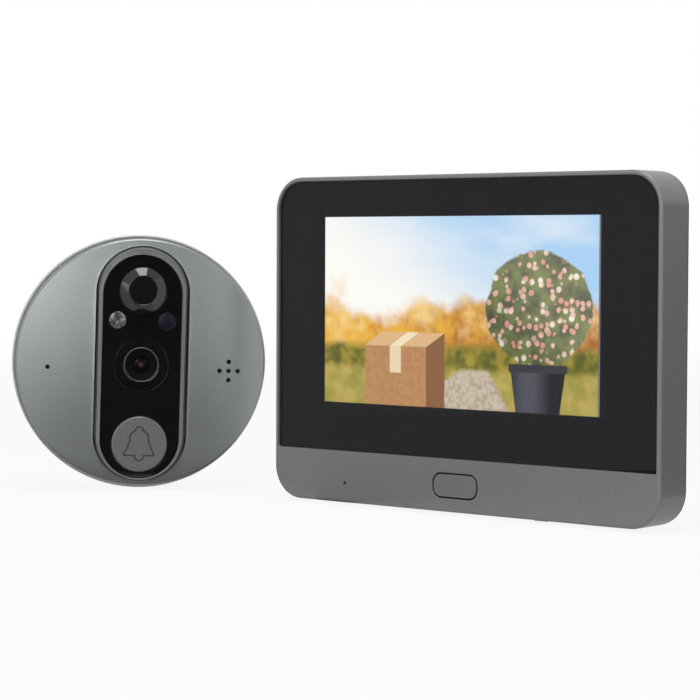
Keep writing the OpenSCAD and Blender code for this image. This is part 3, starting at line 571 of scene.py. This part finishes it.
# Outer shell of the outdoor unit: a crowned round moulding in grey metallic lacquer.
# It has a long opening for the camera panel, with a raised lip, and drilled holes for sound.
def on_face(place, axis):
    """Millimetres along one axis of the round unit, from the middle of its face."""
    sockets = {
        "Vector": place, "Location": UNIT.translation, "Rotation": UNIT.to_euler(),
        "Scale": (MM, MM, MM),
    }
    local = place.node("ShaderNodeMapping", {"vector_type": "TEXTURE"}, sockets)
    return local.node("ShaderNodeSeparateXYZ", {}, {0: local}, out=axis)


shell_grey = lacquer("shell_grey", paint(125, 129, 128), 0.36, 0.75)
PILL = (14.2, 21.6, -0.2)
PILL_RIM, PILL_LIP = 0.4, 0.14


def pill_distance(p, half, straight, middle):
    """How far a point in the face lies outside the outline with half-round ends."""
    return math.hypot(p.x, max(abs(p.z - middle) - straight, 0)) - half


outer_shell = moulded("outer_shell", [
    (PILL_RIM, lambda p: p.y < 0.5 and abs(pill_distance(p, *PILL)) < 0.1),
    (0.12, lambda p: p.y < 0.5 and abs(p.z + 1.85) < 3.6 and 22 < abs(p.x) < 31),
    (0.2, lambda p: p.y > 9 and math.hypot(p.x, p.z) > 37),
], UNIT)
for vertex in outer_shell.verts:
    spot = UNIT.inverted() @ vertex.co / MM
    part = pill_distance(spot, *PILL) / PILL_RIM
    if spot.y < 1 and 0.01 < part < 0.98:
        lift = PILL_RIM - PILL_RIM * math.sqrt(1 - (1 - part) ** 2) + PILL_LIP * math.sqrt(1 - part)
        vertex.co -= UNIT.to_3x3() @ Vector((0, lift * MM, 0))
shown(outer_shell, "outer_shell_cap", shell_grey, "door_mount", "outer_shell")


# Trim: the grey tray round the camera panel, snapped in behind the shell's opening.
# Its inner edge is rounded and catches the light, and its rim sinks towards the upper end.
def painted_groove_shade(place):
    """Painted shade on the rim's outer slope, deep in the groove along the two long sides."""
    x, z = on_face(place, "X"), on_face(place, "Z") + 0.6
    z = size_of(z)
    end = z.math("MAXIMUM", z - 21.85, 0)
    away = z.math("SQRT", x * x + end * end) - 13.3
    return soft(away + 0.15, 0.1) * soft(28 - z, 16) * 0.75


# the trim's lacquer carries painted shade in the groove round the panel
trim_grey = lacquer("trim_grey", paint(105, 108, 107), 0.32, 0.3, sunk=painted_groove_shade)
PANEL = (12.05, 22.1, -1.22)
TRIM_SINK = 0.55
pill_trim = moulded("pill_trim", [
    (0.2, lambda p: p.y < -0.2 and abs(pill_distance(p, *PANEL)) < 0.15),
], UNIT)
home = UNIT.inverted()
land = [
    face for face in pill_trim.faces
    if (home.to_3x3() @ face.normal).y < -0.999
    and (home @ face.calc_center_median()).y < -0.1 * MM
]
bmesh.ops.delete(pill_trim, geom=land, context="FACES")
brim = [edge for edge in pill_trim.edges if edge.is_boundary]
for vertex in {vertex for edge in brim for vertex in edge.verts}:
    spot = home @ vertex.co / MM
    if pill_distance(spot, *PANEL) < 0.4:
        sink = TRIM_SINK * min(max((spot.z - 14) / 18, 0), 1)
        vertex.co += UNIT.to_3x3() @ Vector((0, sink * MM, 0))
bmesh.ops.bridge_loops(pill_trim, edges=brim)
bmesh.ops.recalc_face_normals(pill_trim, faces=pill_trim.faces)
shown(pill_trim, "pill_trim_tray", trim_grey, "door_mount", "pill_trim")


# Front panel: gloss black plastic with openings for the sensor, lamps, lens and button.
# It is moulded with fine rounded rims and lies in the trim's tray.
def gloss(name, colour, rough=0.08, index=1.45):
    """Polished plastic with faint smears."""
    made, place, feed = finish_of(name, IOR=index)
    smear = place.noise(0.006, 4)
    feed(
        Base_Color=(0.85 + smear * 0.3).tint(paint(*colour)),
        Roughness=rough * 0.6 + smear * rough * 0.8,
    )
    return made


panel_black = gloss("panel_black", (12, 12, 14))
front_panel = moulded("front_panel", [(0.12, lambda p: p.y < 0.4)], UNIT)
shown(front_panel, "front_panel_window", panel_black, "door_mount", "front_panel")


# Motion sensor's lens: a turned black cap, round-shouldered, with a flat sunk middle.
# It is moulded in gloss plastic that lets heat through, and clips in over the sensor can.
def turned(points, x, z, closed=False, steps=96):
    """Spins a profile of radius and depth in millimetres about a line through the face."""
    bm = bmesh.new()
    line = [bm.verts.new((r * MM, y * MM, 0)) for r, y in points]
    edges = [bm.edges.new(pair) for pair in zip(line, line[1:])]
    if closed:
        edges.append(bm.edges.new((line[-1], line[0])))
    bmesh.ops.spin(
        bm, geom=line + edges, axis=(0, 1, 0), cent=(0, 0, 0), dvec=(0, 0, 0),
        angle=2 * math.pi, steps=steps, use_merge=True, use_duplicate=False,
    )
    bmesh.ops.remove_doubles(bm, verts=bm.verts, dist=1e-7)
    bmesh.ops.recalc_face_normals(bm, faces=bm.faces)
    centre = Matrix.Translation((x * MM, 0, z * MM))
    bmesh.ops.transform(bm, matrix=UNIT @ centre, verts=bm.verts)
    return bm


def arc(middle, reach, start, end, steps):
    """Points on an ellipse about a point, between two angles in degrees."""
    turn = [math.radians(start + (end - start) * i / steps) for i in range(steps + 1)]
    return [(middle[0] + reach[0] * math.cos(a), middle[1] + reach[1] * math.sin(a)) for a in turn]


PIR_Z = 21.98
cap = [(0, -1.5), (4.3, -1.5), (4.42, -1.6), (4.55, -1.64), (4.68, -1.6)]
cap += arc((6.5, 0.3), (0.7, 0.7), -58, 0, 6)
cap += [(7.2, 1.95), (6.3, 1.95), (6.3, 0.3), (4.6, -0.7), (0, -0.7)]
cap_black = gloss("cap_black", (18, 18, 19), 0.05, 1.5)
shown(turned(cap, 0, PIR_Z), "motion_sensor_cap", cap_black, "door_mount",
      "pir_lens")


# Camera lens: a black bezel, a bright turned ring, a ridged black barrel and a coated glass.
# The barrel is screwed into its holder on the camera board, and the rings are pressed in.
LENS_Z = -0.6
bezel_black = gloss("bezel_black", (12, 12, 14))
bezel = [(5.45, 0.3), (5.6, 0.25), (7.8, 0.25), (7.95, 0.2), (8.08, 0.22), (8.15, 0.35)]
bezel += [(8.15, 1.95), (5.45, 1.95)]
shown(turned(bezel, 0, LENS_Z, True), "lens_bezel_ring", bezel_black, "door_mount",
      "lens_bezel")
ring_chrome = metal("ring_chrome", (92, 92, 92), 0.35, (1, 1, 1))
bright = [(4.945, 1.95)] + arc((5.125, 0.18), (0.18, 0.2), -180, 0, 8) + [(5.305, 1.95)]
shown(turned(bright, 0, LENS_Z, True), "lens_bright_ring", ring_chrome, "door_mount",
      "lens_ring", flat=False)
ridges = []
for step in range(5):
    radius, depth = 4.4 - step * 0.38, 0.8 + step * 0.28
    ridges += [(radius, depth), (radius - 0.04, depth + 0.24), (radius - 0.36, depth + 0.26)]
barrel = [(4.8, 5.0), (4.8, 0.86), (4.74, 0.8)] + ridges + [(2.5, 3.3), (2.0, 3.3), (2.0, 5.0)]
barrel_black = gloss("barrel_black", (10, 10, 11), 0.6, 1.15)
shown(turned(barrel, 0, LENS_Z, True), "lens_barrel_tube", barrel_black, "door_mount",
      "lens_barrel", flat=False)
lens_coated, place, feed = finish_of("lens_coated", Roughness=0.15, IOR=1.12)
# painted reflection: the glass's reddish middle, fading to near black at its rim, stands for the
# glint of its coating
lens_top = UNIT @ Vector((0, 1.8 * MM, LENS_Z * MM))
settings = {"operation": "DISTANCE"}
away = place.node("ShaderNodeVectorMath", settings, {0: place, 1: lens_top}, out="Value") * 1000
painted_coat_glint = away.node("ShaderNodeValToRGB", {"stops": [
    (0.0, paint(74, 60, 63)), (0.2, paint(62, 44, 48)), (0.4, paint(24, 16, 20)),
    (0.6, paint(10, 9, 12)), (1.0, paint(8, 8, 9))]}, {0: away * 0.42})
feed(Base_Color=painted_coat_glint)
eye = arc((0, 2.2), (2.4, 0.5), -90, 0, 12) + [(2.4, 3.2), (0, 3.2)]
shown(turned(eye, 0, LENS_Z), "lens_front_glass", lens_coated, "door_mount",
      "lens_glass", flat=False)


# Lamps: a clear white one on the left, a dark infrared one on the right.
# Both are cast in resin with a low dome that stands level with the panel.
LAMP_X, LAMP_Z = 7.5, 12.93
dome = arc((0, 0.42), (2.5, 0.3), -90, -4, 8) + [(2.55, 0.5), (2.55, 6.2), (0, 6.2)]
lamp_clear, place, feed = finish_of("lamp_clear", Roughness=0.12, IOR=1.5)
facet = place.node("ShaderNodeTexVoronoi", {}, {"Vector": place, "Scale": 950.0}, out="Color")
facet = facet.node("ShaderNodeSeparateXYZ", {}, {0: facet}, out="X")
feed(Base_Color=over(solid((56, 57, 57)), solid((112, 113, 111)), soft(facet * 2 - 1.3, 1.0)))
shown(turned(dome, -LAMP_X, LAMP_Z), "white_lamp", lamp_clear, "door_mount",
      "white_led", flat=False)
lamp_dark, place, feed = finish_of("lamp_dark", Roughness=0.3, IOR=1.2)
feed(Base_Color=(0.7 + place.noise(0.0015, 2) * 0.6).tint(paint(20, 21, 35)))
shown(turned(dome, LAMP_X, LAMP_Z), "infrared_lamp", lamp_dark, "door_mount",
      "ir_led", flat=False)


# Bell button: a grey round key with a rounded edge and an engraved outline of a bell.
# It is snapped through the tray and presses a tact switch on the camera board.
BELL_Z = -24.87


def engraving(place):
    """Darkens the line cut into the key's top, but not the key's rounded edge."""
    x, y, z = on_face(place, "X"), on_face(place, "Y"), on_face(place, "Z") - BELL_Z
    return soft(y + 0.28, 0.1) * soft(60 - x * x - z * z, 4) * 0.5


button_grey = lacquer("button_grey", paint(105, 106, 108), 0.34, 0.5, sunk=engraving)
bell = moulded("bell_button", [
    (0.35, lambda p: p.y < 0 and math.hypot(p.x, p.z - BELL_Z) > 8.2),
    (0.06, lambda p: p.y < -0.39 and math.hypot(p.x, p.z - BELL_Z) < 8),
], UNIT)
shown(bell, "bell_button_key", button_grey, "bell_button", "bell_button")


# Back shell: the round base with its lighter ring, posts and the hub for the door screws.
# It is moulded in lacquered plastic, and four screws from behind hold it to the outer shell.
base_grey = lacquer("base_grey", paint(158, 162, 161), 0.36, 0.4)
back_shell = moulded("back_shell", [(0.4, lambda p: math.hypot(p.x, p.z) > 38.8)], UNIT)
shown(back_shell, "back_shell_base", base_grey, "door_mount", "back_shell")
BASE_BACK = 13.5
SCREW_RING = 35.8 - 6.6
places = []
for angle in (31, 149, 214, 326):
    a = math.radians(angle)
    spot = (SCREW_RING * math.cos(a) * MM, BASE_BACK * MM, SCREW_RING * math.sin(a) * MM)
    at = Matrix.Translation(spot)
    places.append((UNIT @ at @ outwards, a * 2.3))
shown(screws(places, SCREW_HEAD, 1.0, 1.2, 9.1), "back_shell_screw_set", screw_steel, "door_mount",
      "back_shell_screws", flat=False)


# Bushes, grommet and gasket: brass bushes pressed into the hub for the door screws, a rubber
# plug with the flat cable's slot, and a rubber ring that seals the unit to the door.
bush_brass = metal("bush_brass", (206, 170, 100), 0.28, (1, 1, 1))
rubber_black = moulding("rubber_black", (40, 40, 41), 0.8, 0.0003)
dress(bush_brass, "mounting_bushes")
dress(rubber_black, "ribbon_grommet")
gasket = moulded("door_gasket", [(0.3, lambda p: p.y > 14)], UNIT)
shown(gasket, "door_gasket_ring", rubber_black, "door_mount", "door_gasket")


# Studio: a pale floor that fades into a white surround, soft boxes, and the camera at the
# photograph's place. The surround is white to the camera and in reflections, where grey and
# white cards that nothing else sees shape the reflections on the grey and black faces.
FLOOR = -47.8 * MM
floor_mesh = bpy.data.meshes.new("floor")
bm = bmesh.new()
bmesh.ops.create_circle(bm, cap_ends=True, radius=2.2, segments=96)
bmesh.ops.translate(bm, verts=bm.verts, vec=(0, 0, FLOOR))
bm.to_mesh(floor_mesh)
bm.free()
floor = bpy.data.objects.new("floor", floor_mesh)
bpy.context.scene.collection.objects.link(floor)
floor_white = bpy.data.materials.new("floor_white")
floor_white.use_nodes = True
tree = floor_white.node_tree
tree.nodes.clear()
empty = Shade(tree)
place = empty.node("ShaderNodeTexCoord", out="Object")
reach = place.node("ShaderNodeVectorMath", {"operation": "LENGTH"}, {0: place}, out="Value")
matt = empty.node("ShaderNodeBsdfDiffuse", {}, {"Color": (0.55, 0.55, 0.55, 1)})
glow = empty.node("ShaderNodeEmission", {}, {"Color": (1, 1, 1, 1), "Strength": 1.0})
clear = empty.node("ShaderNodeBsdfTransparent")


def background_rays(empty):
    """One for rays from the camera and for those that metal or glass sends on."""
    path = [empty.node("ShaderNodeLightPath", out=name) for name in (
        "Is Camera Ray", "Is Glossy Ray", "Is Transmission Ray")]
    return path[0].math("MAXIMUM", path[0], path[0].math("MAXIMUM", path[1], path[2]))


seen = background_rays(empty)
pale = empty.node("ShaderNodeMixShader", {}, {0: seen * 0.9, 1: matt, 2: glow})
fade = soft(reach - 0.9, 1.2)
whole = empty.node("ShaderNodeMixShader", {}, {0: fade, 1: pale, 2: clear})
end = tree.nodes.new("ShaderNodeOutputMaterial")
tree.links.new(whole.socket, end.inputs["Surface"])
floor_mesh.materials.append(floor_white)

world = bpy.data.worlds.new("surround")
bpy.context.scene.world = world
world.use_nodes = True
tree = world.node_tree
tree.nodes.clear()
empty = Shade(tree)
seen = background_rays(empty)
white = empty.node("ShaderNodeBackground", {}, {"Color": (1, 1, 1, 1), "Strength": 1.0})
fill = empty.node("ShaderNodeBackground", {}, {"Color": (1, 1, 1, 1), "Strength": 0.45})
whole = empty.node("ShaderNodeMixShader", {}, {0: seen, 1: fill, 2: white})
end = tree.nodes.new("ShaderNodeOutputWorld")
tree.links.new(whole.socket, end.inputs["Surface"])


def soft_box(name, spot, target, size, power):
    """A rectangular lamp at the spot, turned to the target."""
    lamp = bpy.data.lights.new(name, "AREA")
    lamp.shape, lamp.size, lamp.size_y, lamp.energy = "RECTANGLE", *size, power
    box = bpy.data.objects.new(name, lamp)
    box.location = spot
    box.rotation_euler = (Vector(target) - Vector(spot)).to_track_quat("-Z", "Y").to_euler()
    bpy.context.scene.collection.objects.link(box)


soft_box("top_box", (0.084, -0.2, 0.85), (-0.03, 0, 0), (0.5, 0.5), 6.0)
soft_box("left_box", (0.537, -0.988, 0.281), UNIT.translation, (0.3, 0.5), 3.3)
soft_box("right_box", (0.99, -0.48, 0.116), UNIT.translation, (0.22, 0.7), 1.6)
soft_box("front_box", (0.05, -1.3, 0.1), (0, 0, 0), (0.8, 0.8), 4.0)

card_grey, place, feed = finish_of("card_grey", Roughness=1.0, Specular_IOR_Level=0.0)
feed(Base_Color=(0.9 + place.noise(0.2) * 0.2).tint(paint(60, 60, 62)))
card_white, place, feed = finish_of(
    "card_white", Roughness=1.0, Specular_IOR_Level=0.0, Emission_Strength=1.0)
feed(Emission_Color=(0.95 + place.noise(0.2) * 0.1).tint((1, 1, 1)))


def card(name, look, spot, turn, long, wide):
    """A card that only shows in reflections, laid flat on the spot and then turned."""
    bm = bmesh.new()
    bmesh.ops.create_grid(bm, x_segments=1, y_segments=1, size=0.5)
    place = Matrix.Translation(spot) @ turn @ Matrix.Diagonal((long, wide, 1, 1))
    bmesh.ops.transform(bm, matrix=place, verts=bm.verts)
    mesh = bpy.data.meshes.new(name)
    bm.to_mesh(mesh)
    bm.free()
    mesh.materials.append(look)
    made = bpy.data.objects.new(name, mesh)
    bpy.context.scene.collection.objects.link(made)
    made.visible_camera = made.visible_diffuse = made.visible_shadow = False


along = Vector((0.777, -0.629, 0))
foot = Vector((UNIT.translation.x, UNIT.translation.y, FLOOR + 0.5 * MM))
turn = Matrix.Rotation(math.radians(-39), 4, "Z")
upright = Matrix.Rotation(math.pi / 2, 4, "Y")
card("tall_card", card_grey, foot + along * 1.6 + Vector((0, 0, 0.475)), turn @ upright, 0.95, 1.2)
card("foot_card", card_grey, foot + along * 0.016, turn, 0.028, 0.09)
card("near_card", card_grey, foot + along * 0.147, turn, 0.206, 0.11)
card("far_card", card_grey, foot + along * 0.925, turn, 1.35, 0.5)
card("side_card", card_white, Vector((-68 * MM, 0, 0)), upright, 0.092, 0.03)
back = Matrix.Rotation(math.radians(56), 4, "Z")
card("back_card", card_grey, back @ Vector((0.9, 0, 0.01)), back @ upright, 0.116, 1.2)
behind = Vector((0.07, -0.01, FLOOR + 0.5 * MM)) + back @ Vector((0.48, 0, 0))
card("wall_card", card_grey, behind, back, 0.84, 0.3)

camera_data = bpy.data.cameras.new("camera")
FOCAL_PIXELS, IMAGE_PIXELS = 2306.2, 700
camera_data.sensor_width = 36
camera_data.lens = 36 * FOCAL_PIXELS / IMAGE_PIXELS
camera_data.shift_x, camera_data.shift_y = -0.0009, 0.0008
camera_data.clip_start, camera_data.clip_end = 0.01, 20
camera = bpy.data.objects.new("camera", camera_data)
camera.matrix_world = (
    Matrix.Translation((384.8 * MM, -520.8 * MM, 24.8 * MM))
    @ Matrix.Rotation(0.69548, 4, "Z")
    @ Matrix.Rotation(math.pi / 2 - 0.042136, 4, "X")
    @ Matrix.Rotation(0.0041735, 4, "Z")
)
bpy.context.scene.collection.objects.link(camera)
bpy.context.scene.camera = camera
bpy.context.scene.view_settings.view_transform = "Standard"
